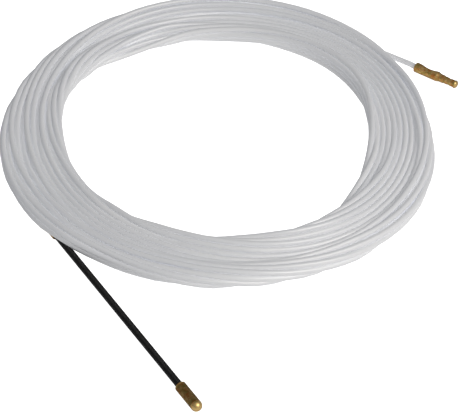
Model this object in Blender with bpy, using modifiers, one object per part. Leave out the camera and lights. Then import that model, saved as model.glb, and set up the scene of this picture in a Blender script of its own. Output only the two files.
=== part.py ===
"""Nylon fish tape kept as a loose hand-wound coil, with a brass fitting crimped on each end.

The front end carries a flexible leader: a brass ferrule, a close-wound spring with a steel safety
cable inside it, and a domed brass nose. The rear end carries a brass fitting with a pulling eye.

Metres, +Z up. The coil, the nose and the eye fitting all lie on z = 0, +Y is the long way of the
part, and the origin is on the floor under the middle of the whole part. Plan angles are counted
counter-clockwise from +X about the middle of the coil.
"""
import math

import bmesh
import bpy
import numpy as np
from mathutils import Matrix, Vector

MM = 0.001

# The gap left between pieces that touch on the real object.
GAP = 0.3 * MM

# The tape: one round nylon filament.
TAPE_R = 2.0 * MM

# The coil, seen in plan: how far its inner and outer edges are from its middle, in millimetres,
# every 20 degrees. Hand winding leaves it out of round, and narrow where turns bunch up.
COIL_MIDDLE = Vector((-0.0109, 0.0502, 0.0))
COIL_INNER_MM = (104, 107, 109, 108, 105, 108, 106, 113, 112, 106, 103, 103, 102, 103, 106, 113, 108, 104)
COIL_OUTER_MM = (147, 145, 150, 148, 146, 145, 147, 147, 146, 149, 148, 149, 146, 146, 146, 149, 151, 151)

# Every cross-section holds the same turns, so its area stays the same and a narrow band is high.
SECTION_AREA = 400 * MM * MM
SECTION_POWER = 2.4
SECTION_FILL = 0.845
BASE_CUT = 0.06
COIL_STEPS = 96
SECTION_STEPS = 16

# The turns rise where they lie on the ferrule, which leaves the coil under its outer edge.
FERRULE_LIFT = 2.6 * MM
LIFT_SPREAD = math.radians(22)

# The leader lies straight on the floor. Distances along it start at the ferrule's front face.
LEADER_START = COIL_MIDDLE + Vector((-0.1021, -0.1016, 0.00355))
LEADER_HEADING = math.radians(-56.6)
LEADER_LENGTH = 150 * MM
SPRING_R = 2.35 * MM
SPRING_BORE_R = 1.45 * MM
SPRING_SEAT = 5.0 * MM
CABLE_R = 0.75 * MM
CABLE_SEAT = 9.0 * MM
FERRULE_R = 3.3 * MM
FERRULE_LENGTH = 22 * MM
NOSE_R = 3.55 * MM
NOSE_BARREL = 18.2 * MM

# The leader bends at these joints, sideways and upwards in turn, each in the middle of a gap.
FIRST_JOINT = 20 * MM
JOINT_COUNT = 12
JOINT_PITCH = 10.8 * MM
JOINT_GAP = 0.9 * MM

# The eye fitting on the rear end. Distances along it start at its rear face.
EYE_START = COIL_MIDDLE + Vector((0.1420, 0.0755, 0.0036))
EYE_HEADING = math.radians(-36.0)
SLEEVE_R = 3.6 * MM
SLEEVE_LENGTH = 18.4 * MM
SLEEVE_BORE = 12.5 * MM
PIN_R = 2.95 * MM
PIN_END = 32.7 * MM
PIN_DOME = 2.0 * MM
SHOULDER = 2.0 * MM
EYE_AT = 28.0 * MM
EYE_R = 1.6 * MM
EYE_FLAT_HALF = 2.6 * MM
EYE_FLAT_LENGTH = 8.4 * MM
EYE_TILT = math.radians(48.5)
CRIMP_AT = 10.6 * MM
CRIMP_DEPTH = 1.0 * MM
CRIMP_TOOL_R = 24 * MM

# The two tape ends outside the coil. The rear end runs on from the lowest outer turn.
REAR_TURN_R = 145.3 * MM
REAR_LEAVES_AT = math.radians(54)
FRONT_END_REACH = 32 * MM
TAPE_SEAT = 11 * MM


# ---------------------------------------------------------------------------------------------
# Collections, materials and small tools

for old in list(bpy.data.objects):
    bpy.data.objects.remove(old)

PARTS = bpy.data.collections.new("fish_tape")
CUTTERS = bpy.data.collections.new("fish_tape_cutters")
for collection in (PARTS, CUTTERS):
    bpy.context.scene.collection.children.link(collection)


def finish(name, colour, roughness, metallic):
    """A Principled material with the piece's plain colour."""
    material = bpy.data.materials.new(name)
    material.use_nodes = True
    shader = material.node_tree.nodes["Principled BSDF"]
    shader.inputs["Base Color"].default_value = (*colour, 1.0)
    shader.inputs["Roughness"].default_value = roughness
    shader.inputs["Metallic"].default_value = metallic
    return material


def axes_along(heading, start):
    """A frame whose Z runs along a heading in plan, whose Y is up and whose X is to the side."""
    along = Vector((math.cos(heading), math.sin(heading), 0.0))
    up = Vector((0.0, 0.0, 1.0))
    side = up.cross(along)
    turn = Matrix((side, up, along)).transposed().to_4x4()
    return Matrix.Translation(start) @ turn


def add_object(name, data, collection, material=None, placed=None, parent=None):
    """Link an object, give it its material and put it in its place, in world terms."""
    piece = bpy.data.objects.new(name, data)
    collection.objects.link(piece)
    if material:
        data.materials.clear()
        data.materials.append(material)
    if parent:
        piece.parent = parent
        piece.matrix_parent_inverse = parent.matrix_world.inverted()
    if placed:
        piece.matrix_world = placed
    bpy.context.view_layer.update()
    if collection is CUTTERS:
        piece.hide_render = True
        piece.display_type = "WIRE"
    return piece


def turned(name, profile, collection, material=None, placed=None, parent=None, steps=28, closed=False):
    """A turned piece: a profile of (radius, height) points swept round local Z.

    The profile runs down the outer side, top to bottom, and comes back up through the bore.
    """
    count = len(profile)
    mesh = bpy.data.meshes.new(name)
    edges = [(i, i + 1) for i in range(count - 1)]
    if closed:
        edges.append((count - 1, 0))
    mesh.from_pydata([(r, 0.0, z) for r, z in profile], edges, [])
    piece = add_object(name, mesh, collection, material, placed, parent)
    sweep = piece.modifiers.new("turn", "SCREW")
    sweep.axis = "Z"
    sweep.steps = steps
    sweep.render_steps = steps
    sweep.use_merge_vertices = True
    sweep.merge_threshold = 0.00001
    sweep.use_smooth_shade = True
    return piece


def cut(piece, cutter):
    """Take a cutter's shape out of a piece."""
    step = piece.modifiers.new("cut_" + cutter.name, "BOOLEAN")
    step.operation = "DIFFERENCE"
    step.solver = "EXACT"
    step.object = cutter


def as_mesh(curve_object):
    """Turn a curve object into a welded mesh object of the same name, in the same place."""
    bpy.context.view_layer.update()
    graph = bpy.context.evaluated_depsgraph_get()
    mesh = bpy.data.meshes.new_from_object(curve_object.evaluated_get(graph))
    weld = bmesh.new()
    weld.from_mesh(mesh)
    bmesh.ops.remove_doubles(weld, verts=weld.verts, dist=0.00001)
    weld.to_mesh(mesh)
    weld.free()
    name = curve_object.name
    placed = curve_object.matrix_world.copy()
    bpy.data.objects.remove(curve_object)
    return add_object(name, mesh, CUTTERS, placed=placed)


def tube(name, points, radius, collection, material=None):
    """A round tube along a line of points, with closed ends."""
    data = bpy.data.curves.new(name, "CURVE")
    data.dimensions = "3D"
    data.bevel_depth = radius
    data.bevel_resolution = 3
    data.use_fill_caps = True
    spline = data.splines.new("POLY")
    spline.points.add(len(points) - 1)
    for slot, point in zip(spline.points, points):
        slot.co = (*point, 1.0)
    return add_object(name, data, collection, material)


def smooth_route(points, spacing):
    """Points at an even spacing on a smooth curve (Catmull-Rom) through the route's own points."""
    route = [Vector(p) for p in points]
    route = [2 * route[0] - route[1]] + route + [2 * route[-1] - route[-2]]
    line = []
    for before, start, end, after in zip(route, route[1:], route[2:], route[3:]):
        count = max(1, round((end - start).length / spacing))
        for i in range(count):
            t = i / count
            line.append(0.5 * (2 * start + t * (end - before)
                               + t * t * (2 * before - 5 * start + 4 * end - after)
                               + t * t * t * (3 * start - before - 3 * end + after)))
    line.append(route[-2])
    return line


NYLON = finish("frosted_nylon", (0.80, 0.81, 0.83), 0.4, 0.0)
BRASS = finish("turned_brass", (0.62, 0.43, 0.16), 0.3, 1.0)
BLACK_SPRING = finish("blackened_spring_steel", (0.03, 0.03, 0.033), 0.45, 0.6)
CABLE_STEEL = finish("bright_cable_steel", (0.55, 0.56, 0.58), 0.35, 1.0)


# ---------------------------------------------------------------------------------------------
# The coil: the outer shape of all the turns as they lie on the floor

def around(stations, angle):
    """A smooth closed curve (Catmull-Rom) through evenly spaced stations, read at plan angles."""
    values = np.array(stations, dtype=float)
    turn = np.mod(angle / (2 * math.pi), 1.0) * len(values)
    start = np.floor(turn).astype(int)
    t = turn - start
    before, here, there, after = (values[(start + k) % len(values)] for k in (-1, 0, 1, 2))
    return 0.5 * (2 * here + t * (there - before)
                  + t ** 2 * (2 * before - 5 * here + 4 * there - after)
                  + t ** 3 * (3 * here - before - 3 * there + after))


def signed_power(value, power):
    """A superellipse's rounding of a sine or cosine."""
    return np.sign(value) * np.abs(value) ** power


def coil_points(angle, section):
    """Points on the coil's surface for a plan angle and an angle round the cross-section."""
    inner = around(COIL_INNER_MM, angle) * MM
    outer = around(COIL_OUTER_MM, angle) * MM
    ferrule_at = math.atan2(*(LEADER_START - COIL_MIDDLE).yx)
    from_ferrule = np.mod(angle - ferrule_at + math.pi, 2 * math.pi) - math.pi
    height = SECTION_AREA / (SECTION_FILL * (outer - inner))
    height = height + FERRULE_LIFT * np.exp(-(from_ferrule / LIFT_SPREAD) ** 2)
    across = signed_power(np.cos(section), 2 / SECTION_POWER)
    up = 0.5 + 0.5 * signed_power(np.sin(section), 2 / SECTION_POWER)
    radius = (inner + outer) / 2 + (outer - inner) / 2 * across
    # The lowest part of each section is pressed flat on the floor.
    z = height * np.maximum(0.0, (up - BASE_CUT) / (1 - BASE_CUT))
    return np.stack((radius * np.cos(angle), radius * np.sin(angle), z), axis=-1)


bpy.ops.mesh.primitive_torus_add(major_segments=COIL_STEPS, minor_segments=SECTION_STEPS,
                                 major_radius=1.0, minor_radius=0.25)
ring = bpy.context.object
ring_mesh = ring.data
bpy.data.objects.remove(ring)
ring_points = np.zeros(len(ring_mesh.vertices) * 3)
ring_mesh.vertices.foreach_get("co", ring_points)
ring_points = ring_points.reshape(-1, 3)
ring_angle = np.arctan2(ring_points[:, 1], ring_points[:, 0])
section_angle = np.arctan2(ring_points[:, 2], np.hypot(ring_points[:, 0], ring_points[:, 1]) - 1.0)
ring_mesh.vertices.foreach_set("co", coil_points(ring_angle, section_angle).ravel())
ring_mesh.shade_smooth()
tape_coil = add_object("tape_coil", ring_mesh, PARTS, NYLON, Matrix.Translation(COIL_MIDDLE))


# ---------------------------------------------------------------------------------------------
# The two tape ends, from the coil to the brass fittings

leader_axes = axes_along(LEADER_HEADING, LEADER_START)
eye_axes = axes_along(EYE_HEADING, EYE_START)


def on_rear_turn(angle_deg):
    """A point on the lowest outer turn, at a plan angle."""
    angle = math.radians(angle_deg)
    flat = Vector((math.cos(angle), math.sin(angle), 0.0)) * REAR_TURN_R
    return COIL_MIDDLE + flat + Vector((0.0, 0.0, TAPE_R + 0.05 * MM))


leave_deg = math.degrees(REAR_LEAVES_AT)
leaves_at = on_rear_turn(leave_deg)
rear_route = [
    on_rear_turn(leave_deg + 8),
    on_rear_turn(leave_deg + 4),
    leaves_at,
    leaves_at.lerp(EYE_START, 0.33) + Vector((0.0, 0.0, -0.3 * MM)),
    leaves_at.lerp(EYE_START, 0.67) + Vector((0.0, 0.0, -0.2 * MM)),
    eye_axes @ Vector((0.0, 0.0, 0.0)),
    eye_axes @ Vector((0.0, 0.0, TAPE_SEAT)),
]
tube("tape_rear_end", smooth_route(rear_route, 9 * MM), TAPE_R, PARTS, NYLON)

front_route = [leader_axes @ Vector((0.0, 0.0, -d))
               for d in (FRONT_END_REACH, FERRULE_LENGTH, FERRULE_LENGTH - TAPE_SEAT)]
tube("tape_front_end", smooth_route(front_route, 9 * MM), TAPE_R, PARTS, NYLON)

# The coil lies over both ends. Its turns leave a tunnel for each tape end, and an arched one for
# the ferrule and the first of the spring.
rear_tunnel = [rear_route[0] + (rear_route[0] - rear_route[1]).normalized() * GAP] + rear_route[1:]
cut(tape_coil, as_mesh(tube("rear_end_tunnel", smooth_route(rear_tunnel, 9 * MM), TAPE_R + GAP, CUTTERS)))
front_tunnel = [leader_axes @ Vector((0.0, 0.0, -d)) for d in (FRONT_END_REACH + GAP, 15 * MM)]
cut(tape_coil, as_mesh(tube("front_end_tunnel", front_tunnel, TAPE_R + GAP, CUTTERS)))

ARCH_R = FERRULE_R + GAP
ARCH_REACH = 40 * MM
ARCH_STEPS = 14
arch = bpy.data.curves.new("ferrule_arch", "CURVE")
arch.dimensions = "2D"
arch.fill_mode = "BOTH"
arch.extrude = (FERRULE_LENGTH + GAP + ARCH_REACH) / 2
arch_outline = [(ARCH_R * math.cos(math.pi * i / ARCH_STEPS), ARCH_R * math.sin(math.pi * i / ARCH_STEPS))
                for i in range(ARCH_STEPS + 1)]
arch_outline += [(-ARCH_R, -6 * MM), (ARCH_R, -6 * MM)]
arch_line = arch.splines.new("POLY")
arch_line.points.add(len(arch_outline) - 1)
for slot, (x, y) in zip(arch_line.points, arch_outline):
    slot.co = (x, y, 0.0, 1.0)
arch_line.use_cyclic_u = True
arch_middle = Matrix.Translation((0.0, 0.0, (ARCH_REACH - FERRULE_LENGTH - GAP) / 2))
cut(tape_coil, as_mesh(add_object("ferrule_arch", arch, CUTTERS, placed=leader_axes @ arch_middle)))


# ---------------------------------------------------------------------------------------------
# The leader's ferrule: a turned brass sleeve, crimped on the tape behind and on the spring in front

GROOVE_AT = -15.5 * MM
GROOVE_HALF = 1.0 * MM
GROOVE_DEPTH = 0.35 * MM
EDGE = 0.4 * MM
ferrule_profile = [
    (0.0, -CABLE_SEAT - GAP),
    (CABLE_R + GAP, -CABLE_SEAT - GAP),
    (CABLE_R + GAP, -SPRING_SEAT - GAP),
    (SPRING_R + GAP, -SPRING_SEAT - GAP),
    (SPRING_R + GAP, 0.0),
    (FERRULE_R - EDGE / 2, 0.0),
    (FERRULE_R, -EDGE),
    (FERRULE_R, GROOVE_AT + GROOVE_HALF),
    (FERRULE_R - GROOVE_DEPTH, GROOVE_AT + GROOVE_HALF / 2),
    (FERRULE_R - GROOVE_DEPTH, GROOVE_AT - GROOVE_HALF / 2),
    (FERRULE_R, GROOVE_AT - GROOVE_HALF),
    (FERRULE_R, -FERRULE_LENGTH + EDGE),
    (FERRULE_R - EDGE, -FERRULE_LENGTH),
    (TAPE_R + GAP, -FERRULE_LENGTH),
    (TAPE_R + GAP, -FERRULE_LENGTH + TAPE_SEAT + GAP),
    (0.0, -FERRULE_LENGTH + TAPE_SEAT + GAP),
]
turned("leader_ferrule", ferrule_profile, PARTS, BRASS, leader_axes, steps=24)


# ---------------------------------------------------------------------------------------------
# The flexible leader: spring and safety cable, in sections that turn on one another

def spring_section(name, start, end, joint):
    """One length of the close-wound spring: a tube with eased ends."""
    ease = 0.25 * MM
    profile = [
        (SPRING_R - ease, end),
        (SPRING_R, end - ease),
        (SPRING_R, start + ease),
        (SPRING_R - ease, start),
        (SPRING_BORE_R, start),
        (SPRING_BORE_R, end),
    ]
    turned(name, profile, PARTS, BLACK_SPRING, leader_axes, joint, steps=16, closed=True)
    return name


def cable_section(name, start, end, joint):
    """One length of the safety cable: a plain rod."""
    mesh = bpy.data.meshes.new(name)
    rod = bmesh.new()
    middle = Matrix.Translation((0.0, 0.0, (start + end) / 2))
    bmesh.ops.create_cone(rod, cap_ends=True, cap_tris=False, segments=10, radius1=CABLE_R,
                          radius2=CABLE_R, depth=end - start, matrix=middle)
    rod.to_mesh(mesh)
    rod.free()
    add_object(name, mesh, PARTS, CABLE_STEEL, leader_axes, joint)


def centred_on_joint(piece, joint_at):
    """Move a section's origin onto its joint without moving its shape."""
    piece.data.transform(Matrix.Translation((0.0, 0.0, -joint_at)))
    piece.matrix_world = leader_axes @ Matrix.Translation((0.0, 0.0, joint_at))


joint_places = [FIRST_JOINT + i * JOINT_PITCH for i in range(JOINT_COUNT)]
section_starts = [-SPRING_SEAT] + [at + JOINT_GAP / 2 for at in joint_places]
section_ends = [at - JOINT_GAP / 2 for at in joint_places] + [LEADER_LENGTH + SPRING_SEAT]

joint = None
for i, (start, end) in enumerate(zip(section_starts, section_ends)):
    number = "%02d" % (i + 1)
    if i > 0:
        way = "side" if i % 2 else "lift"
        empty = bpy.data.objects.new("leader_%s_joint_%02d" % (way, (i + 1) // 2), None)
        PARTS.objects.link(empty)
        if joint:
            empty.parent = joint
            empty.matrix_parent_inverse = joint.matrix_world.inverted()
        empty.matrix_world = leader_axes @ Matrix.Translation((0.0, 0.0, joint_places[i - 1]))
        bpy.context.view_layer.update()
        joint = empty
    spring_section("leader_spring_" + number, start, end, joint)
    cable_start = -CABLE_SEAT if i == 0 else start
    cable_end = LEADER_LENGTH + CABLE_SEAT if i == JOINT_COUNT else end
    cable_section("safety_cable_" + number, cable_start, cable_end, joint)
    if joint:
        for kind in ("leader_spring_", "safety_cable_"):
            centred_on_joint(bpy.data.objects[kind + number], joint_places[i - 1])


# ---------------------------------------------------------------------------------------------
# The nose: a turned brass barrel with a round end, bored for the spring and the cable

DOME_STEPS = 7
NOSE_EDGE = 0.5 * MM
nose_front = LEADER_LENGTH + NOSE_BARREL
nose_profile = [(NOSE_R * math.sin(math.pi / 2 * i / DOME_STEPS),
                 nose_front + NOSE_R * math.cos(math.pi / 2 * i / DOME_STEPS))
                for i in range(DOME_STEPS + 1)]
nose_profile += [
    (NOSE_R, LEADER_LENGTH + NOSE_EDGE),
    (NOSE_R - NOSE_EDGE, LEADER_LENGTH),
    (SPRING_R + GAP, LEADER_LENGTH),
    (SPRING_R + GAP, LEADER_LENGTH + SPRING_SEAT + GAP),
    (CABLE_R + GAP, LEADER_LENGTH + SPRING_SEAT + GAP),
    (CABLE_R + GAP, LEADER_LENGTH + CABLE_SEAT + GAP),
    (0.0, LEADER_LENGTH + CABLE_SEAT + GAP),
]
nose = turned("leader_nose", nose_profile, PARTS, BRASS, leader_axes, joint, steps=28)
centred_on_joint(nose, joint_places[-1])


# ---------------------------------------------------------------------------------------------
# The eye fitting: a brass sleeve crimped on the tape, and a pin with a cross hole for a pull cord

PIN_DOME_STEPS = 6
eye_profile = [(PIN_R * math.sin(math.pi / 2 * i / PIN_DOME_STEPS),
                PIN_END + PIN_DOME * math.cos(math.pi / 2 * i / PIN_DOME_STEPS))
               for i in range(PIN_DOME_STEPS + 1)]
eye_profile += [
    (PIN_R, SLEEVE_LENGTH + SHOULDER),
    (SLEEVE_R, SLEEVE_LENGTH),
    (SLEEVE_R, EDGE),
    (SLEEVE_R - EDGE, 0.0),
    (TAPE_R + GAP, 0.0),
    (TAPE_R + GAP, SLEEVE_BORE),
    (0.0, SLEEVE_BORE),
]
eye_fitting = turned("eye_fitting", eye_profile, PARTS, BRASS, eye_axes, steps=28)

# The eye's hole, its two flats and the crimp all face the same way, tilted about the fitting.
tilted_axes = eye_axes @ Matrix.Rotation(EYE_TILT - math.pi / 2, 4, "Z")
hole_axes = tilted_axes @ Matrix.Translation((0.0, 0.0, EYE_AT)) @ Matrix.Rotation(-math.pi / 2, 4, "X")

MOUTH = 0.4 * MM
mouth_at = EYE_FLAT_HALF - MOUTH
beyond = EYE_FLAT_HALF + 2 * MM
hole_profile = [
    (0.0, beyond),
    (EYE_R + beyond - mouth_at, beyond),
    (EYE_R, mouth_at),
    (EYE_R, -mouth_at),
    (EYE_R + beyond - mouth_at, -beyond),
    (0.0, -beyond),
]
cut_depth = 2 * MM
for side in (1, -1):
    flat_cutter = bpy.data.meshes.new("eye_flat")
    block = bmesh.new()
    size = Matrix.Diagonal((4 * PIN_R, cut_depth, EYE_FLAT_LENGTH, 1.0))
    place = Matrix.Translation((0.0, side * (EYE_FLAT_HALF + cut_depth / 2), EYE_AT))
    bmesh.ops.create_cube(block, size=1.0, matrix=place @ size)
    block.to_mesh(flat_cutter)
    block.free()
    cut(eye_fitting, add_object("eye_flat_cutter", flat_cutter, CUTTERS, placed=tilted_axes))
cut(eye_fitting, turned("eye_hole_cutter", hole_profile, CUTTERS, placed=hole_axes, steps=24))

# The crimping tool's jaw is a large cylinder pressed across one side of the sleeve.
jaw = bpy.data.meshes.new("crimp_jaw")
roller = bmesh.new()
jaw_place = Matrix.Translation((0.0, SLEEVE_R - CRIMP_DEPTH + CRIMP_TOOL_R, CRIMP_AT))
bmesh.ops.create_cone(roller, cap_ends=True, cap_tris=False, segments=96, radius1=CRIMP_TOOL_R,
                      radius2=CRIMP_TOOL_R, depth=12 * MM,
                      matrix=jaw_place @ Matrix.Rotation(math.pi / 2, 4, "Y"))
roller.to_mesh(jaw)
roller.free()
cut(eye_fitting, add_object("crimp_jaw", jaw, CUTTERS, placed=tilted_axes))
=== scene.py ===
"""A nylon fish tape as it lies on a table: a loose coil of translucent tape, with a brass pulling eye
crimped on one end and a flexible spring leader with a brass nose on the other. Metres, +Z up."""

import math

import bmesh
import bpy
import numpy as np
from mathutils import Matrix, Vector


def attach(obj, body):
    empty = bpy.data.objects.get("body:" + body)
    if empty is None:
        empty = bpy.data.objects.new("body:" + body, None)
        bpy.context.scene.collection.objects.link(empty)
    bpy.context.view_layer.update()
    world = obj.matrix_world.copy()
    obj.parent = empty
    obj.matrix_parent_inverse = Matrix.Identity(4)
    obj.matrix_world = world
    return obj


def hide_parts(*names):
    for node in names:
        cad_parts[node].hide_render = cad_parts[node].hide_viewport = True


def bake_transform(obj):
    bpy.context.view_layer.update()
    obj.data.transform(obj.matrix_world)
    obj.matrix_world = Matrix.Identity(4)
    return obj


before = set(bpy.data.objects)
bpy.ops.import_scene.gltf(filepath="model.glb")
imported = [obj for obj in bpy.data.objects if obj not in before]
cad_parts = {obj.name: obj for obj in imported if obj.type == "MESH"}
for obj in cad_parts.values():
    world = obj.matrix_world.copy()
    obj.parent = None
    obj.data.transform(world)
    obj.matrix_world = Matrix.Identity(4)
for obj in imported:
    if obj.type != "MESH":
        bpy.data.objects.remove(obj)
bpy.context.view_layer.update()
MM = 0.001

# --- Tape ---------------------------------------------------------------------------------------------
# The real piece is one round filament of frosted nylon, 4 mm thick and about 20 m long, extruded and then
# wound by hand. Nothing ties it: each turn lies where the turns under it let it, and leans a little
# across its neighbours.

COIL_MIDDLE = np.array((-10.9, 50.2, 0.0)) * MM
# The coil's inner and outer outline: radii at even steps of angle, from +X round towards +Y.
COIL_INNER = np.array((
    103.7, 107, 109, 108.2, 105.5, 107.4, 106, 113.2, 112,
    106.1, 103.1, 103, 102, 103.2, 106.4, 112.8, 108.4, 104)) * MM
COIL_OUTER = np.array((
    147.4, 144.5, 150.1, 148.4, 145.6, 145, 147.4, 147.3, 146.1,
    149, 148.4, 149.5, 145.6, 145.7, 146.1, 149.4, 151.4, 150.7)) * MM
TAPE_R = 2.0 * MM
TAPE_SIDES = 16
POINTS_A_TURN = 96
TURN_STEP = 2 * math.pi / POINTS_A_TURN
WHOLE_TURNS = 26  # the rear end leaves the coil in the last of these

# In a section, the turns follow a flat loop: out along the floor, up the outer side, in over the top and
# down the inner side. Places on it are parts of its length, from 0 to 1. The tape starts at LOOP_START
# and moves on by LOOP_STEP a turn, and LOOP_SHIFT moves all its turns together, at even steps of angle.
LOOP = (0, 0.40, 0.455, 0.51, 0.91, 0.955, 1)
LOOP_START = 0.4198
LOOP_STEP = 0.04112
LOOP_SHIFT = np.array((
    0.131, 0.190, 0.179, 0.163, 0.144, 0.047, 0.132, 0.002, -0.126,
    -0.208, -0.242, -0.221, -0.195, -0.164, -0.098, -0.016, 0.066, 0.118))
# How far along the loop the winding strays, and over how many turns it comes back. The second is flat.
LOOP_WAVES = ((0.0198, 0.83), (0, 0.47), (-0.0111, 5.3))
WAVES_SEED = 583
LOOP_EDGE = 0.3 * MM  # how far the loop's corners stand back from the outline
LAYER_Z = np.array((2.0, 6.93, 9.39)) * MM  # the loop's bottom, its middle and its top
CORE_FROM = 24.59  # the turn in which the tape leaves the loop, to fill the middle
CORE_EASE = 0.12
CORE_LANES = (0.145, 0.786)  # from the inner outline, 0, towards the outer one, 1
REAR_EASE = 0.25  # the part of a turn in which the tape comes out to its rear end

LEADER_START = np.array((-113.0, -51.4, 3.55)) * MM  # the ferrule's front face, on the leader's axis
LEADER_HEADING = math.radians(-56.6)
LEADER_ALONG = np.array((math.cos(LEADER_HEADING), math.sin(LEADER_HEADING), 0.0))
FERRULE_LENGTH = 22 * MM
FERRULE_R = 3.3 * MM
SPRING_R = 2.35 * MM
TAPE_SEAT = 11 * MM  # how deep the tape sits in each fitting

EYE_START = np.array((131.1, 125.7, 3.6)) * MM  # the eye fitting's rear face
EYE_HEADING = math.radians(-36)
REAR_LEAVES_AT = math.radians(54)
REAR_TURN_R = 145.3 * MM
REAR_RUN = 0.0705  # from where the tape leaves the coil to the eye fitting
REAR_RISE = 1.55 * MM
REAR_FLOOR_Z = 2.05 * MM

# What lies straight under the coil's turns: the tape's front end, the ferrule, the spring, and the tape's
# rear end. Each goes from and to a distance along its line, from where that is nearest the coil's middle.
FRONT_SPAN = (-1 * MM, 7 * MM)
FERRULE_SPAN = (6.5 * MM, 29 * MM)
SPRING_SPAN = (29 * MM, 180 * MM)
REAR_SPAN = (-70 * MM, 40 * MM)
BAR_REACH = 1.0  # the angle to either side of that place within which such a bar can meet the coil
LEAN_MOST = 1.2

# How the tape settles, in many small steps: how far it sinks, how strongly it straightens, how strongly
# it is pulled to its place, and how often its turns push each other apart. The last steps are gentler,
# and push twice.
SETTLING_STEPS = 400
LATE_FROM = 0.85
SINK = 0.0693 * MM
SETTLING = (SINK, 0.0265, 0.00587, 1)
LATE_SETTLING = (SINK / 4, 0.0133, 0.00176, 2)
PUSH_APART = 0.35
PUSH_WITHIN = 2.01 * TAPE_R
PUSH_INSIDE = 0.3


def around(stations, angle):
    """A closed Catmull-Rom curve through evenly spaced values, the first at angle 0, read at an angle."""
    count = len(stations)
    place = np.mod(angle / (2 * math.pi), 1) * count
    first = np.floor(place).astype(int)
    part = place - first
    before, here, after, beyond = (stations[(first + k) % count] for k in (-1, 0, 1, 2))
    return 0.5 * (
        2 * here + part * (after - before) + part**2 * (2 * before - 5 * here + 4 * after - beyond)
        + part**3 * (3 * here - before - 3 * after + beyond)
    )


def gently(part):
    """From 0 to 1 without a jerk at either end: p * p * (3 - 2 p), with p held between 0 and 1."""
    held = np.clip(part, 0, 1)
    return held**2 * (3 - 2 * held)


def lean(off_by):
    """Tangent and cosine of an angle, held to the range in which a straight bar meets the coil."""
    held = np.clip(off_by, -LEAN_MOST, LEAN_MOST)
    return np.tan(held), np.cos(held)


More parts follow.
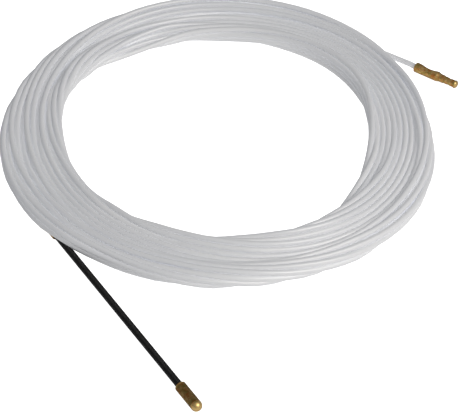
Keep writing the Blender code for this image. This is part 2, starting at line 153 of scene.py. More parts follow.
def wind_tape():
    """The tape's centreline as (radius, angle, height) at even steps of angle, from the ferrule round to
    the eye fitting.

    Each turn lies a step further round the loop of the section than the turn before it, and the last one
    fills the middle. Round the coil, all of them shift along the loop together and back, so on top they
    lean inwards and then outwards. Then many small steps let the tape settle: it sinks, bends as little as
    it can, keeps a diameter from every other turn, stays on the floor and in the coil's outline, and rides
    over the leader and its own ends on the floor."""
    rng = np.random.default_rng(WAVES_SEED)
    towards_coil = LEADER_START - COIL_MIDDLE
    lead_s = -(towards_coil @ LEADER_ALONG)  # along the leader, to where its line is nearest the middle
    foot = towards_coil + lead_s * LEADER_ALONG
    foot_r, foot_angle = math.hypot(foot[0], foot[1]), math.atan2(foot[1], foot[0])
    turns = WHOLE_TURNS + (foot_angle - REAR_LEAVES_AT) / (2 * math.pi)
    last = int(turns * POINTS_A_TURN)
    before, after = 1, 8  # points kept on the straight ends, outside the coil
    rows = -(-(last + before + after) // POINTS_A_TURN)
    index = np.arange(rows * POINTS_A_TURN) - before
    angle = foot_angle - index * TURN_STEP
    there = index <= last + after - 1
    free = (index > 0) & (index < last)
    turn = index / POINTS_A_TURN

    inner, outer = around(COIL_INNER, angle) + TAPE_R, around(COIL_OUTER, angle) - TAPE_R
    shift = around(LOOP_SHIFT, np.array([foot_angle]))[0]
    loop = LOOP_START + LOOP_STEP * turn + shift - around(LOOP_SHIFT, angle)
    for stray, length in LOOP_WAVES:
        loop += stray * np.cos(2 * np.pi * turn / length + rng.uniform(0, 6.28))
    place = np.mod(loop, 1)
    low, middle, high = LAYER_Z
    goal = inner + np.interp(place, LOOP, (0, 1, 1, 1, 0, 0, 0)) * (outer - inner)
    goal += np.interp(place, LOOP, (1, -1, 0, -1, 1, 0, 1)) * LOOP_EDGE
    height = np.interp(place, LOOP, (low, low, middle, high, high, middle, low))
    filled = np.interp(turn, (CORE_FROM, turns - REAR_EASE), CORE_LANES)
    leaving = gently((turn - turns + REAR_EASE) / REAR_EASE)
    inside = gently((turn - CORE_FROM) / CORE_EASE)
    goal += inside * (inner + (filled + (1 - filled) * leaving) * (outer - inner) - goal)
    height += inside * (middle + (REAR_FLOOR_Z - middle) * leaving - height)
    goal = np.clip(goal, inner, outer)
    radius = goal.copy()

    end_tan, end_cos = lean(angle - REAR_LEAVES_AT + 2 * math.pi * WHOLE_TURNS)
    past_end = np.clip(-REAR_TURN_R * end_tan, 0, None)
    rise = REAR_FLOOR_Z + REAR_RISE * np.clip(past_end / REAR_RUN, 0, 1) ** 2
    radius = np.where(index <= 0, foot_r / lean(angle - foot_angle)[1], radius)
    height = np.where(index <= 0, LEADER_START[2], height)
    radius = np.where(index >= last, REAR_TURN_R / end_cos, radius)
    height = np.where(index >= last, rise, height)
    grid = (rows, POINTS_A_TURN)
    both = there.reshape(grid)[:, None] & there.reshape(grid)[None]

    def bar(line_r, at_angle, span, line_z, clear, own):
        """The least height that clears a straight round bar, whose line passes the middle at line_r:
        line_z + sqrt(clear * clear - beside * beside), where beside is how far off the line a point is."""
        off_by = np.mod(angle - at_angle + np.pi, 2 * np.pi) - np.pi
        tan, cos = lean(off_by)
        along_bar = line_r * tan
        on = (np.abs(off_by) < BAR_REACH) & (along_bar > span[0]) & (along_bar < span[1]) & ~own

        def least(r):
            beside = np.abs(r * cos - line_r)
            lifted = line_z + np.sqrt(np.maximum(0, clear**2 - beside**2))
            return np.where(on & (beside < clear), lifted, 0)
        return least

    leader_z = LEADER_START[2]
    own_start = np.abs(index) < 8  # no end of the tape is held off itself
    own_end = index > last - 14
    bars = (
        bar(foot_r, foot_angle, FRONT_SPAN, leader_z, 2 * TAPE_R, own_start),
        bar(foot_r, foot_angle, FERRULE_SPAN, leader_z, FERRULE_R + TAPE_R, own_start),
        bar(foot_r, foot_angle, SPRING_SPAN, leader_z, SPRING_R + TAPE_R, own_start),
        bar(REAR_TURN_R, REAR_LEAVES_AT, REAR_SPAN, REAR_FLOOR_Z, 2 * TAPE_R, own_end),
    )
    for step in range(SETTLING_STEPS):
        sink, straighten, pull, pushes = LATE_SETTLING if step > LATE_FROM * SETTLING_STEPS else SETTLING
        height[free] -= sink
        for line in (radius, height):
            for stride in (1, 2, 4) if step % 2 else (1, 3):
                bend = np.zeros_like(line)
                bend[2 * stride:-2 * stride] = (
                    line[:-4 * stride] - 4 * line[stride:-3 * stride] + 6 * line[2 * stride:-2 * stride]
                    - 4 * line[3 * stride:-stride] + line[4 * stride:])
                line[free] -= straighten * bend[free]
        radius[free] += pull * (goal - radius)[free]
        for _ in range(pushes):
            r, z = radius.reshape(grid), height.reshape(grid)
            across, above = r[:, None] - r[None], z[:, None] - z[None]
            apart = np.hypot(across, above) + 1e-9
            push = PUSH_APART * np.maximum(0, PUSH_WITHIN - apart) / apart * both
            radius[free] += (push * across).sum(1).ravel()[free]
            height[free] += (push * above).sum(1).ravel()[free]
        radius[free] += PUSH_INSIDE * (np.clip(radius, inner, outer) - radius)[free]
        height[free] = np.maximum(height, TAPE_R)[free]
        for least in bars:
            low = least(radius)
            height = np.where(free & (height < low), 0.5 * (height + low), height)
    return radius[there], angle[there], height[there]


radius, angle, height = wind_tape()
eye_along = np.array((math.cos(EYE_HEADING), math.sin(EYE_HEADING), 0.0))
path = np.concatenate([
    [LEADER_START + (TAPE_SEAT - FERRULE_LENGTH) * LEADER_ALONG],
    np.stack([radius * np.cos(angle), radius * np.sin(angle), height], axis=1) + COIL_MIDDLE,
    [EYE_START, EYE_START + TAPE_SEAT * eye_along],
])


def ring_faces(count, sides, first=0):
    """Four-sided faces over a sheet of rings, each from two corners side by side to the same two of the
    next ring."""
    here = first + np.arange((count - 1) * sides).reshape(count - 1, sides)
    beside = np.roll(here, -1, axis=1)
    return np.stack([here, beside, beside + sides, here + sides], axis=-1).reshape(-1, 4).tolist()


def skin(name, rows, way_round, way_along):
    """A closed piece over rows of points, each row a ring, right-handed about the way the rows run. The
    rings are joined by four-sided faces, and a flat face closes the first ring and the last. The UV map is
    each corner's way round and way along, in metres."""
    count, sides = rows.shape[:2]
    ends = [list(range(sides))[::-1], list(range((count - 1) * sides, count * sides))]
    mesh = bpy.data.meshes.new(name)
    mesh.from_pydata(rows.reshape(-1, 3), [], ring_faces(count, sides) + ends)
    left = np.arange(sides) * way_round / sides
    right = left + way_round / sides
    across = np.broadcast_to(np.stack([left, right, right, left], axis=-1), (count - 1, sides, 4))
    low, high = way_along[:-1], way_along[1:]
    upward = np.stack([low, low, high, high], axis=-1)[:, None]
    upward = np.broadcast_to(upward, (count - 1, sides, 4))
    caps = np.repeat(((0.0, way_along[0]), (0.0, way_along[-1])), sides, axis=0)
    corners = np.concatenate([np.stack([across, upward], axis=-1).reshape(-1, 2), caps])
    mesh.uv_layers.new(name="UVMap").data.foreach_set("uv", corners.ravel())
    mesh.shade_smooth()
    piece = bpy.data.objects.new(name, mesh)
    bpy.context.scene.collection.objects.link(piece)
    return piece


def rings_along(line, half, sides):
    """Round rings square to a line of points: at each point half * (cos t * level + sin t * up), where
    level lies flat, to the left of the way the line runs."""
    ahead = np.gradient(line, axis=0)
    ahead /= np.linalg.norm(ahead, axis=1)[:, None]
    level = np.cross((0.0, 0.0, 1.0), ahead)
    level /= np.linalg.norm(level, axis=1)[:, None]
    up = np.cross(ahead, level)
    turn = np.linspace(0, 2 * np.pi, sides, endpoint=False)[:, None]
    return line[:, None] + half * (np.cos(turn) * level[:, None] + np.sin(turn) * up[:, None])


run = np.concatenate([[0.0], np.cumsum(np.linalg.norm(np.diff(path, axis=0), axis=1))])
tape = skin("tape", rings_along(path, TAPE_R, TAPE_SIDES), 2 * math.pi * TAPE_R, run)


def add_node(tree, kind, inputs=(), **settings):
    """One shader node. An input takes a plain value, or another node's output, which is joined to it."""
    made = tree.nodes.new("ShaderNode" + kind)
    for name, value in settings.items():
        setattr(made, name, value)
    for name, value in dict(inputs).items():
        if isinstance(value, bpy.types.NodeSocket):
            tree.links.new(value, made.inputs[name])
        else:
            made.inputs[name].default_value = value
    return made


def spread(tree, value, low, high, start=0.0, end=1.0):
    """A value between low and high carried over to between start and end, and held there beyond them."""
    limits = {"From Min": low, "From Max": high, "To Min": start, "To Max": end}
    return add_node(tree, "MapRange", {"Value": value, **limits}).outputs["Result"]


def mix(tree, part, first, second):
    """A colour that is the first where part is 0 and the second where it is 1, and in between a mix."""
    return add_node(tree, "Mix", {"Factor": part, 6: first, 7: second}, data_type="RGBA").outputs[2]


def new_material(name, **sockets):
    """A Principled material with its plain sockets set. An underscore stands for a space in a name."""
    material = bpy.data.materials.new(name)
    material.use_nodes = True
    shader = material.node_tree.nodes["Principled BSDF"]
    for socket, value in sockets.items():
        shader.inputs[socket.replace("_", " ")].default_value = value
    return material, material.node_tree, shader


def drawn_out(tree, half, fine, long):
    """A place on a round piece of that half thickness, read from its UV map without a seam: the way round
    becomes a circle measured in units of fine, and the way along is measured in units of long."""
    uv = add_node(tree, "SeparateXYZ", {0: add_node(tree, "TexCoord").outputs["UV"]})
    turn = add_node(tree, "Math", {0: uv.outputs["X"], 1: 1 / half}, operation="MULTIPLY").outputs[0]
    side = add_node(tree, "Math", {0: turn}, operation="COSINE").outputs[0]
    rise = add_node(tree, "Math", {0: turn}, operation="SINE").outputs[0]
    circle = add_node(tree, "CombineXYZ", {"X": side, "Y": rise, "Z": uv.outputs["Y"]})
    sizes = (half / fine, half / fine, 1 / long)
    sized = add_node(tree, "VectorMath", {0: circle.outputs[0], 1: sizes}, operation="MULTIPLY")
    return sized.outputs[0]


# Frosted nylon: milky all through, with faint draw lines lengthwise and a slow change of cloudiness.
nylon, tree, shader = new_material("frosted_nylon", IOR=1.6, Specular_IOR_Level=1.0)
place = drawn_out(tree, TAPE_R, 1.1 * MM, 80 * MM)
lines = add_node(tree, "TexNoise", {"Vector": place, "Scale": 1.0, "Detail": 3.0}).outputs["Fac"]
place = drawn_out(tree, TAPE_R, 6 * MM, 110 * MM)
cloud = add_node(tree, "TexNoise", {"Vector": place, "Scale": 1.0, "Detail": 2.0}).outputs["Fac"]
blend = add_node(tree, "Math", {0: lines, 1: cloud}, operation="ADD").outputs[0]
tint = mix(tree, spread(tree, blend, 0.7, 1.3), (0.925, 0.937, 0.965, 1), (0.975, 0.98, 0.99, 1))
tree.links.new(tint, shader.inputs["Base Color"])
tree.links.new(spread(tree, cloud, 0.3, 0.7, 0.32, 0.44), shader.inputs["Roughness"])
ridge = add_node(tree, "Bump", {"Height": lines, "Distance": 0.15 * MM, "Strength": 1.0})
tree.links.new(ridge.outputs["Normal"], shader.inputs["Normal"])
# Nylon lets light through: rays that look for a light pass with part of their strength, so no turn casts
# a hard shadow.
ray = add_node(tree, "LightPath").outputs["Is Shadow Ray"]
tree.links.new(spread(tree, ray, 0.0, 1.0, 1.0, 0.3), shader.inputs["Alpha"])
tape.data.materials.append(nylon)
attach(tape, "root")
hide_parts("tape_coil", "tape_rear_end", "tape_front_end")

# --- Eye fitting --------------------------------------------------------------------------------------
# A turned brass sleeve crimped on the tape's rear end, and a pin with a round nose. The pin has two flats
# and a cross hole for a pull cord. The crimp, the flats and the hole all face the same way, tilted about
# the fitting.

SLEEVE_R = 3.6 * MM
SLEEVE_LENGTH = 18.4 * MM
SLEEVE_BORE = 12.5 * MM
PIN_R = 2.95 * MM
PIN_START = 20.4 * MM
PIN_END = 32.7 * MM
PIN_DOME = 2.0 * MM
EYE_AT = 28.0 * MM
EYE_R = 1.6 * MM
EYE_MOUTH = 0.4 * MM
EYE_PATCH = 4.6 * MM  # half the length of the stretch of pin that the eye is cut in
EYE_STEPS = 14
EYE_FLAT_HALF = 2.6 * MM
EYE_FLAT_LENGTH = 8.4 * MM
EYE_FLAT_RAMP = 1 * MM
EYE_TILT = math.radians(48.5)
CRIMP_AT = 10.6 * MM
CRIMP_DEPTH = 1.0 * MM
CRIMP_TOOL_R = 24 * MM
CRIMP_SOFT = 0.08 * MM  # the edge of what the tool presses is rounded over about this much
CRIMP_SWELL = 0.015
CRIMP_HALF = 6.8 * MM  # half the length of the crimp
BORE_GAP = 0.3 * MM
FITTING_SIDES = 64
SHARP_EDGE = math.radians(32)
UP = np.array((0.0, 0.0, 1.0))


def turned_rows(profile, sides):
    """Rings of a turned piece, from a profile of (along, radius) points: each ring as (across, towards,
    along), which is (radius * cos t, radius * sin t, along)."""
    along, reach = np.array(profile).T[:, :, None]
    turn = np.linspace(0, 2 * np.pi, sides, endpoint=False)
    return np.stack(np.broadcast_arrays(reach * np.cos(turn), reach * np.sin(turn), along), axis=-1)


def stretch(start, end, radius, steps):
    """A straight stretch of a profile, in even steps, without its last point."""
    return [(start + (end - start) * i / steps, radius) for i in range(steps)]


def dome(base, radius, length, steps=10):
    """A quarter ellipse from a rim to the tip, (base + length * sin q, radius * cos q), closed just short
    of the axis."""
    part = [math.pi / 2 * i / steps for i in range(steps)]
    curve = [(base + length * math.sin(q), radius * math.cos(q)) for q in part]
    return curve + [(base + length, 0.02 * MM)]


def placed(points, start, along, towards):
    """Points given as (across, towards, along) put in their place in the world: start, and each number
    times its own direction."""
    return start + points @ np.stack([np.cross(towards, along), towards, along])


def press(points):
    """The crimp and the flats: no point stands further towards the eye's side than the jaw of the crimping
    tool, a large cylinder across the sleeve, and what it presses in swells the sleeve a little sideways.
    The pin is held between its two flats, whose ends rise in short ramps."""
    across, towards, along = np.moveaxis(points, -1, 0)
    off = np.clip(along - CRIMP_AT, -CRIMP_TOOL_R, CRIMP_TOOL_R)
    jaw = SLEEVE_R - CRIMP_DEPTH + CRIMP_TOOL_R - np.sqrt(CRIMP_TOOL_R**2 - off**2)
    outside = (np.hypot(across, towards) > TAPE_R + 2 * BORE_GAP) & (along < SLEEVE_LENGTH)
    pressed_in = CRIMP_SOFT * np.logaddexp(0, (towards - jaw) / CRIMP_SOFT)
    pressed = np.where(outside, towards - pressed_in, towards)
    swell = 1 + CRIMP_SWELL * np.clip(1 - (off / CRIMP_HALF) ** 2, 0, 1) * outside
    flat = EYE_FLAT_HALF + np.clip(np.abs(along - EYE_AT) - EYE_FLAT_LENGTH / 2, 0, EYE_FLAT_RAMP)
    pressed = np.where(along > PIN_START, np.clip(pressed, -flat, flat), pressed)
    return np.stack([across * swell, pressed, along], axis=-1)


# The outline of half a section runs from the bottom of the bore, round the sleeve's mouth and along the
# outside to the pin. The tip goes on beyond the stretch with the eye.
bore = TAPE_R + BORE_GAP
rear = [(SLEEVE_BORE, bore), (0.3 * MM, bore), (0.0, bore + 0.25 * MM), (0.0, SLEEVE_R - 0.4 * MM)]
rear += [(0.12 * MM, SLEEVE_R - 0.12 * MM)] + stretch(0.4 * MM, SLEEVE_LENGTH - 0.2 * MM, SLEEVE_R, 44)
rear += [(SLEEVE_LENGTH - 0.2 * MM, SLEEVE_R), (SLEEVE_LENGTH + 0.15 * MM, SLEEVE_R - 0.1 * MM)]
rear += [(PIN_START - 0.1 * MM, PIN_R + 0.04 * MM)]
rear += stretch(PIN_START + 0.2 * MM, EYE_AT - EYE_PATCH, PIN_R, 4) + [(EYE_AT - EYE_PATCH, PIN_R)]
tip = [(EYE_AT + EYE_PATCH, PIN_R)] + dome(PIN_END, PIN_R, PIN_DOME)

# The stretch with the eye is two half shells. Each is a fan of lines from the rim of the hole out to the
# edge of the shell, laid out in (turn about the pin, way along) and then wrapped on the pin.
quarter = np.linspace(-1, 1, FITTING_SIDES // 2 + 1)
length_steps = np.linspace(-1, 1, EYE_STEPS + 1)
rear_side, front_side = -np.ones(FITTING_SIDES // 2), np.ones(FITTING_SIDES // 2)
left_side, right_side = -np.ones(EYE_STEPS), np.ones(EYE_STEPS)
edge = np.concatenate([
    np.stack([quarter[:-1], rear_side], axis=1),
    np.stack([right_side, length_steps[:-1]], axis=1),
    np.stack([quarter[:0:-1], front_side], axis=1),
    np.stack([left_side, length_steps[:0:-1]], axis=1),
]) * (math.pi / 2, EYE_PATCH)
bearing = np.arctan2(edge[:, 1], edge[:, 0] * PIN_R)
rim_r = EYE_R + EYE_MOUTH
rim = np.stack([np.arcsin(rim_r * np.cos(bearing) / PIN_R), rim_r * np.sin(bearing)], axis=1)
out = np.linspace(0, 1, 9)[:, None, None] ** 1.3  # closer together near the hole
fan = rim + out * (edge - rim)
about, way = fan[..., 0], fan[..., 1]
upper = press(np.stack([PIN_R * np.sin(about), PIN_R * np.cos(about), way + EYE_AT], axis=-1))
lower = upper * (1, -1, 1)
wall_x, wall_y = EYE_R * np.cos(bearing), EYE_R * np.sin(bearing) + EYE_AT
mouth = upper[0, :, 1] - EYE_MOUTH
wall = np.stack([
    lower[0],
    np.stack([wall_x, -mouth, wall_y], axis=-1),
    np.stack([wall_x, mouth, wall_y], axis=-1),
    upper[0],
])
sheets = [press(turned_rows(profile, FITTING_SIDES)) for profile in (rear, tip)] + [upper, lower, wall]
tilted = math.cos(EYE_TILT) * np.cross(UP, eye_along) + math.sin(EYE_TILT) * UP
starts = np.cumsum([0] + [sheet.shape[0] * sheet.shape[1] for sheet in sheets])
bore_end = list(range(FITTING_SIDES))
nose_middle = list(range(starts[2] - FITTING_SIDES, starts[2]))
faces = [bore_end, nose_middle]
for sheet, first in zip(sheets, starts):
    faces += ring_faces(*sheet.shape[:2], first)
points = [placed(sheet, EYE_START, eye_along, tilted).reshape(-1, 3) for sheet in sheets]
eye_mesh = bpy.data.meshes.new("pulling_eye")
eye_mesh.from_pydata(np.concatenate(points), [], faces)
form = bmesh.new()
form.from_mesh(eye_mesh)
bmesh.ops.remove_doubles(form, verts=form.verts, dist=0.002 * MM)
bmesh.ops.recalc_face_normals(form, faces=form.faces)
form.to_mesh(eye_mesh)
form.free()


def listed(items, name, kind, width=1):
    """One property of all of a mesh's vertices, corners or faces, as an array."""
    values = np.empty(len(items) * width, dtype=kind)
    items.foreach_get(name, values)
    return values.reshape(-1, width) if width > 1 else values


# The UV map is the way round and the way along, and a face across the seam carries on past a whole turn.
corner_points = listed(eye_mesh.loops, "vertex_index", int)
corner_off = listed(eye_mesh.vertices, "co", float, 3)[corner_points] - EYE_START
turn = np.arctan2(corner_off @ UP, corner_off @ np.cross(UP, eye_along))
face_starts, face_sizes = (listed(eye_mesh.polygons, "loop_" + name, int) for name in ("start", "total"))
face_turn = turn[np.repeat(face_starts, face_sizes)]
turn = face_turn + np.mod(turn - face_turn + np.pi, 2 * np.pi) - np.pi
eye_uv = np.stack([turn * SLEEVE_R, corner_off @ eye_along], axis=-1)
eye_mesh.uv_layers.new(name="UVMap").data.foreach_set("uv", eye_uv.ravel())
eye_mesh.shade_smooth()
eye_mesh.set_sharp_from_angle(angle=SHARP_EDGE)
pulling_eye = bpy.data.objects.new("pulling_eye", eye_mesh)
bpy.context.scene.collection.objects.link(pulling_eye)


def turned_brass():
    """The colour, roughness and height of old turned brass. Tarnish is a noise in soft patches, over a
    finer one of specks, and it darkens and dulls the metal, reddish in some places and olive in others.
    Tool marks are thin rings: a noise that changes only along."""
    group = bpy.data.node_groups.new("turned_brass", "ShaderNodeTree")
    for name, kind in (("Tarnish", "Float"), ("Place", "Vector")):
        group.interface.new_socket(name, in_out="INPUT", socket_type="NodeSocket" + kind)
    for name, kind in (("Color", "Color"), ("Roughness", "Float"), ("Height", "Float")):
        group.interface.new_socket(name, in_out="OUTPUT", socket_type="NodeSocket" + kind)
    given = group.nodes.new("NodeGroupInput").outputs
    spot = add_node(group, "TexCoord").outputs["Object"]
    patch = add_node(group, "TexNoise", {"Vector": spot, "Scale": 330.0, "Detail": 4.0, "Roughness": 0.6})
    patch = add_node(group, "Math", {0: patch.outputs["Fac"], 1: 0.7}, operation="MULTIPLY").outputs[0]
    speck = add_node(group, "TexNoise", {"Vector": spot, "Scale": 1500.0, "Detail": 2.0}).outputs["Fac"]
    both = add_node(group, "Math", {0: speck, 1: 0.3, 2: patch}, operation="MULTIPLY_ADD").outputs[0]
    worn = spread(group, both, 0.38, 0.6)
    amount = add_node(group, "Math", {0: worn, 1: given["Tarnish"]}, operation="MULTIPLY").outputs[0]
    hue = add_node(group, "TexNoise", {"Vector": spot, "Scale": 420.0, "Detail": 1.0}).outputs["Fac"]
    stain = mix(group, spread(group, hue, 0.42, 0.58), (0.60, 0.20, 0.035, 1), (0.36, 0.26, 0.045, 1))
    marks = add_node(group, "TexNoise", {"Vector": given["Place"], "Scale": 1.0, "Detail": 2.0})
    result = group.nodes.new("NodeGroupOutput").inputs
    group.links.new(mix(group, amount, (0.90, 0.62, 0.25, 1), stain), result["Color"])
    group.links.new(spread(group, amount, 0.0, 1.0, 0.40, 0.44), result["Roughness"])
    group.links.new(marks.outputs["Fac"], result["Height"])
    return group


brass_group = turned_brass()


def brass_material(name, half, tarnish, rubbed_at):
    """Turned brass for a piece of that half thickness, with the rings of the turning tool 0.25 mm apart.
    Handling keeps it bright beyond rubbed_at, a distance along the piece, and the colour is painted darker
    where seen at a slant, towards the outline: painted shade."""
    material, tree, shader = new_material(name, Metallic=1.0)
    brass = tree.nodes.new("ShaderNodeGroup")
    brass.node_tree = brass_group
    along = add_node(tree, "SeparateXYZ", {0: add_node(tree, "TexCoord").outputs["UV"]}).outputs["Y"]
    left = spread(tree, along, rubbed_at, rubbed_at + 0.8 * MM, tarnish, 0.0)
    tree.links.new(left, brass.inputs["Tarnish"])
    tree.links.new(drawn_out(tree, half, 4 * half, 0.25 * MM), brass.inputs["Place"])
    # Painted shade: the colour is mixed towards near black where the surface is seen at a slant.
    slant_shade = add_node(tree, "LayerWeight", {"Blend": 0.22}).outputs["Facing"]
    colour = mix(tree, slant_shade, brass.outputs["Color"], (0.03, 0.025, 0.02, 1))
    tree.links.new(colour, shader.inputs["Base Color"])
    tree.links.new(brass.outputs["Roughness"], shader.inputs["Roughness"])
    marks = {"Height": brass.outputs["Height"], "Distance": 0.012 * MM, "Strength": 1.0}
    tree.links.new(add_node(tree, "Bump", marks).outputs["Normal"], shader.inputs["Normal"])
    return material


pulling_eye.data.materials.append(brass_material("brass_sleeve", SLEEVE_R, 0.9, PIN_END))
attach(pulling_eye, "root")
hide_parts("eye_fitting")

# --- Leader ferrule -----------------------------------------------------------------------------------
# A turned brass sleeve that joins the tape to the leader, crimped by a groove over the tape. It is bored
# at both ends, and the spring and its safety cable sit in the front bores. The coil's lowest turns lie
# over most of it.

CABLE_BORE_R = 1.05 * MM
CABLE_SEAT = 9.3 * MM
SPRING_BORE = SPRING_R + BORE_GAP
SPRING_SEAT = 5.3 * MM
GROOVE_AT = -15.5 * MM
GROOVE_DEPTH = 0.35 * MM
GROOVE_HALF = 0.6  # half its width, in mm
FERRULE_SIDES = 48

rear_face = -FERRULE_LENGTH
crimp_groove = [
    (GROOVE_AT + x * MM, FERRULE_R - GROOVE_DEPTH * math.exp(-(x / GROOVE_HALF) ** 2))
    for x in np.linspace(-1.6, 1.6, 17)
]
ferrule = [(rear_face + TAPE_SEAT + BORE_GAP, bore), (rear_face + 0.2 * MM, bore)]
ferrule += [(rear_face, bore + 0.2 * MM), (rear_face, FERRULE_R - 0.4 * MM)]
ferrule += [(rear_face + 0.4 * MM, FERRULE_R)] + crimp_groove
ferrule += [(-9 * MM, FERRULE_R), (-0.35 * MM, FERRULE_R), (-0.08 * MM, FERRULE_R - 0.1 * MM)]
ferrule += [(0.0, FERRULE_R - 0.35 * MM), (0.0, SPRING_BORE), (-SPRING_SEAT, SPRING_BORE)]
ferrule += [(-SPRING_SEAT, CABLE_BORE_R), (-CABLE_SEAT, CABLE_BORE_R)]

leader_sleeve = skin(
    "leader_sleeve", placed(turned_rows(ferrule, FERRULE_SIDES), LEADER_START, LEADER_ALONG, UP),
    2 * math.pi * FERRULE_R, np.array(ferrule)[:, 0])
leader_sleeve.data.set_sharp_from_angle(angle=SHARP_EDGE)
leader_sleeve.data.materials.append(brass_material("brass_ferrule", FERRULE_R, 0.8, 1 * MM))
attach(leader_sleeve, "root")
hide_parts("leader_ferrule")

# --- Safety cable -------------------------------------------------------------------------------------
# A thin stranded steel cable inside the spring, crimped in the ferrule and in the nose, which keeps the
# spring from drawing out. It is the frame's own rods, and their finish is a rope of slanting strands, with
# painted shade between the strands.

CABLE_COUNT = 13

steel, tree, shader = new_material("stranded_steel", Metallic=1.0, Roughness=0.35)
spot = add_node(tree, "TexCoord").outputs["Object"]
aligned = add_node(tree, "Mapping", {"Vector": spot, "Rotation": (0.0, 0.0, -LEADER_HEADING)}).outputs[0]
strands = add_node(
    tree, "TexWave", {"Vector": aligned, "Scale": 260.0, "Distortion": 1.5, "Detail": 1.0},
    wave_type="BANDS", bands_direction="DIAGONAL").outputs["Fac"]
# Painted shade: the steel's colour is darker in bands between the strands and lighter on them.
strand_shade = mix(tree, strands, (0.22, 0.22, 0.23, 1), (0.55, 0.55, 0.56, 1))
tree.links.new(strand_shade, shader.inputs["Base Color"])
twist = add_node(tree, "Bump", {"Height": strands, "Distance": 0.1 * MM, "Strength": 0.8})
tree.links.new(twist.outputs["Normal"], shader.inputs["Normal"])
for number in range(1, CABLE_COUNT + 1):
    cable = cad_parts["safety_cable_%02d" % number]
    cable.data.materials.clear()
    cable.data.materials.append(steel)

# --- Leader spring ------------------------------------------------------------------------------------
# One close-wound spring of black-oxidised steel wire, seated in the ferrule and in the nose. It bends
# everywhere, so it is cut into a piece for each joint, from the middle of one rigid length to the middle
# of the next.

LEADER_LENGTH = 150 * MM
FIRST_JOINT = 20 * MM
JOINT_PITCH = 10.8 * MM
JOINT_COUNT = 12
WIRE_R = 0.40 * MM
WIRE_SIDES = 8
WIRE_PITCH = 0.83 * MM
STEPS_A_COIL = 14
leader_level = np.cross(UP, LEADER_ALONG)


def coils(start, end):
    """Rings of the spring's wire from start to end along the leader, and the wire's length at each. Its
    centre runs round a circle, one turn for each pitch, and each ring lies in the plane of the radius and
    the leader: cos q * outward - sin q * along."""
    along = np.linspace(start, end, int(round((end - start) / WIRE_PITCH * STEPS_A_COIL)) + 1)
    turn = 2 * np.pi * along / WIRE_PITCH
    outward = np.cos(turn)[:, None] * leader_level + np.sin(turn)[:, None] * UP
    middle = LEADER_START + along[:, None] * LEADER_ALONG + (SPRING_R - WIRE_R) * outward
    q = np.linspace(0, 2 * np.pi, WIRE_SIDES, endpoint=False)[:, None]
    rows = middle[:, None] + WIRE_R * (np.cos(q) * outward[:, None] - np.sin(q) * LEADER_ALONG)
    return rows, (along - start) * 2 * np.pi * SPRING_R / WIRE_PITCH


black, tree, shader = new_material("black_spring_wire", Metallic=0.0, Specular_IOR_Level=0.3)
spot = add_node(tree, "TexCoord").outputs["Object"]
scuff = add_node(tree, "TexNoise", {"Vector": spot, "Scale": 420.0, "Detail": 5.0, "Roughness": 0.65})
scuff = scuff.outputs["Fac"]
rubbed = mix(tree, spread(tree, scuff, 0.42, 0.75), (0.004, 0.004, 0.0045, 1), (0.018, 0.0175, 0.017, 1))
tree.links.new(rubbed, shader.inputs["Base Color"])
tree.links.new(spread(tree, scuff, 0.0, 1.0, 0.28, 0.5), shader.inputs["Roughness"])

for number in range(1, JOINT_COUNT + 1):
    joint_at = FIRST_JOINT + (number - 1) * JOINT_PITCH
    start = joint_at - JOINT_PITCH / 2 if number > 1 else BORE_GAP - SPRING_SEAT
    end = joint_at + JOINT_PITCH / 2 if number < JOINT_COUNT else LEADER_LENGTH + SPRING_SEAT - BORE_GAP
    rows, wire_run = coils(start, end)
    spring = skin("spring_wire_%02d" % number, rows, 2 * math.pi * WIRE_R, wire_run)
    spring.data.materials.append(black)
    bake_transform(spring)
    last_length = ["leader_spring_13"] if number == JOINT_COUNT else []
    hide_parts("leader_spring_%02d" % number, *last_length)

# --- Nose ---------------------------------------------------------------------------------------------
# A turned brass barrel with a round end that leads the tape round bends in a conduit. Its side has a fine
# diamond knurl for the fingers, and it is bored like the ferrule for the spring and its cable.

NOSE_R = 3.55 * MM
NOSE_BARREL = 18.2 * MM
NOSE_STEP = 0.08 * MM  # the barrel's plain rear end is this much smaller in radius than the knurl
NOSE_SIDES = 180
KNURL_FROM = 1.1 * MM
KNURL_TO = 17.4 * MM
KNURL_TEETH = 30
KNURL_LONG = 1.25 * MM
KNURL_DEPTH = 0.17 * MM
KNURL_STEPS = 8  # rings for each tooth's length
KNURL_FADE = 0.4 * MM
KNURL_FLANK = 0.75  # how far a groove's side reaches, from its line, 0, to a crest, 1

knurl_rows = int((KNURL_TO - KNURL_FROM) / KNURL_LONG * KNURL_STEPS)
nose_profile = [(CABLE_SEAT, CABLE_BORE_R), (SPRING_SEAT, CABLE_BORE_R), (SPRING_SEAT, SPRING_BORE)]
nose_profile += [(0.0, SPRING_BORE), (0.0, NOSE_R - 0.55 * MM), (0.5 * MM, NOSE_R - NOSE_STEP)]
nose_profile += [(KNURL_FROM - 0.2 * MM, NOSE_R - NOSE_STEP)]
nose_profile += stretch(KNURL_FROM, KNURL_TO, NOSE_R, knurl_rows)
nose_profile += [(KNURL_TO, NOSE_R), (NOSE_BARREL - 0.1 * MM, NOSE_R)]
nose_profile += dome(NOSE_BARREL, NOSE_R, NOSE_R, 18)
nose_rows = turned_rows(nose_profile, NOSE_SIDES)

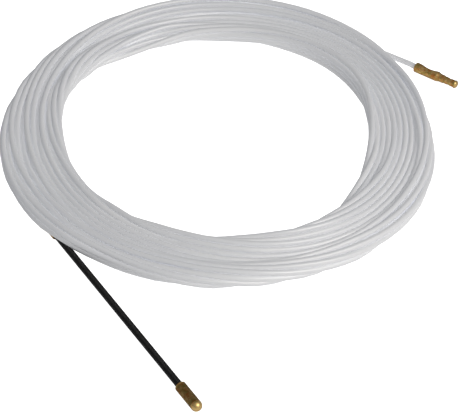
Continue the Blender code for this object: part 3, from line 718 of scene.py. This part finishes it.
# The knurl is two crossing sets of slanting grooves. Each place has a distance from the nearest groove's
# line, 0 on it and 1 on the crest of a tooth, and the metal is sunk near the line.
along, turn = nose_rows[..., 2], np.arctan2(nose_rows[..., 1], nose_rows[..., 0])
first = KNURL_TEETH * turn / (2 * np.pi) + along / KNURL_LONG
second = KNURL_TEETH * turn / (2 * np.pi) - along / KNURL_LONG
off_line = np.minimum(np.abs(np.mod(first, 1) - 0.5), np.abs(np.mod(second, 1) - 0.5)) * 2
knurled = np.clip(np.minimum(along - KNURL_FROM, KNURL_TO - along) / KNURL_FADE, 0, 1)
knurled *= np.hypot(nose_rows[..., 0], nose_rows[..., 1]) > NOSE_R - 0.01 * MM
sunk = knurled * np.clip(1 - off_line / KNURL_FLANK, 0, 1)
nose_rows[..., :2] *= (1 - KNURL_DEPTH * sunk / NOSE_R)[..., None]
nose_start = LEADER_START + LEADER_LENGTH * LEADER_ALONG
nose = skin(
    "round_nose", placed(nose_rows, nose_start, LEADER_ALONG, UP), 2 * math.pi * NOSE_R,
    np.array(nose_profile)[:, 0])
nose.data.set_sharp_from_angle(angle=math.radians(50))
nose.data.attributes.new("sunk", "FLOAT", "POINT").data.foreach_set("value", sunk.ravel())

# The same brass, painted darker in the knurl's grooves: painted shade.
nose_brass = brass_material("brass_nose", NOSE_R, 0.95, NOSE_BARREL)
tree = nose_brass.node_tree
base_colour = tree.nodes["Principled BSDF"].inputs["Base Color"]
depth = add_node(tree, "Attribute", attribute_name="sunk").outputs["Fac"]
brass_before_groove_shade = base_colour.links[0].from_socket
# Painted shade in the grooves, darker where the metal is sunk deeper.
tree.links.new(mix(tree, depth, brass_before_groove_shade, (0.07, 0.03, 0.01, 1)), base_colour)
nose.data.materials.append(nose_brass)
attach(nose, "leader_13")
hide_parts("leader_nose")

# --- Table, light and camera --------------------------------------------------------------------------
# A plain white table under a large soft light from the front right, with a faint even light from all
# round. The camera stands in front and looks down.

TABLE_HALF = 4
table_mesh = bpy.data.meshes.new("table_top")
table_mesh.from_pydata(
    [(-TABLE_HALF, -TABLE_HALF, 0), (TABLE_HALF, -TABLE_HALF, 0), (TABLE_HALF, TABLE_HALF, 0),
     (-TABLE_HALF, TABLE_HALF, 0)], [], [(0, 1, 2, 3)])
table_top = bpy.data.objects.new("table_top", table_mesh)
bpy.context.scene.collection.objects.link(table_top)
white, tree, shader = new_material(
    "white_table", Roughness=1.0, Specular_IOR_Level=0.0, Base_Color=(0.9, 0.9, 0.9, 1),
    Emission_Color=(1, 1, 1, 1))
table_mesh.materials.append(white)
# The table glows for the eye, so that it looks plain white, and lights the tape only faintly.
seen = add_node(tree, "LightPath").outputs["Is Camera Ray"]
tree.links.new(spread(tree, seen, 0.0, 1.0, 0.1, 1.1), shader.inputs["Emission Strength"])

world = bpy.data.worlds.new("studio")
world.use_nodes = True
world.node_tree.nodes["Background"].inputs["Color"].default_value = (0.93, 0.95, 1.0, 1)
world.node_tree.nodes["Background"].inputs["Strength"].default_value = 0.27
bpy.context.scene.world = world

key = bpy.data.lights.new("key", "AREA")
key.size = 1.0
key.energy = 12
key.color = (1.0, 0.97, 0.92)
key_light = bpy.data.objects.new("key", key)
key_light.location = Vector((0.5, -0.46, 0.73)).normalized() * 1.6
key_light.rotation_euler = key_light.location.to_track_quat("Z", "Y").to_euler()
bpy.context.scene.collection.objects.link(key_light)

camera_data = bpy.data.cameras.new("camera")
camera_data.lens = 129.58
camera_data.sensor_width = 36.0
camera_data.clip_start = 0.05
camera = bpy.data.objects.new("camera", camera_data)
camera_place = Vector((-1.9, -813.1, 747.2)) * MM
camera_aim = Vector((-1.9, -18.5, 0.0)) * MM
camera_roll = Matrix.Rotation(math.radians(0.53), 4, "Z")
look = (camera_aim - camera_place).to_track_quat("-Z", "Y").to_matrix().to_4x4()
camera.matrix_world = Matrix.Translation(camera_place) @ look @ camera_roll
bpy.context.scene.collection.objects.link(camera)
bpy.context.scene.camera = camera
bpy.context.scene.view_settings.view_transform = "Standard"
bpy.context.scene.cycles.diffuse_bounces = 16
bpy.context.scene.cycles.max_bounces = 24
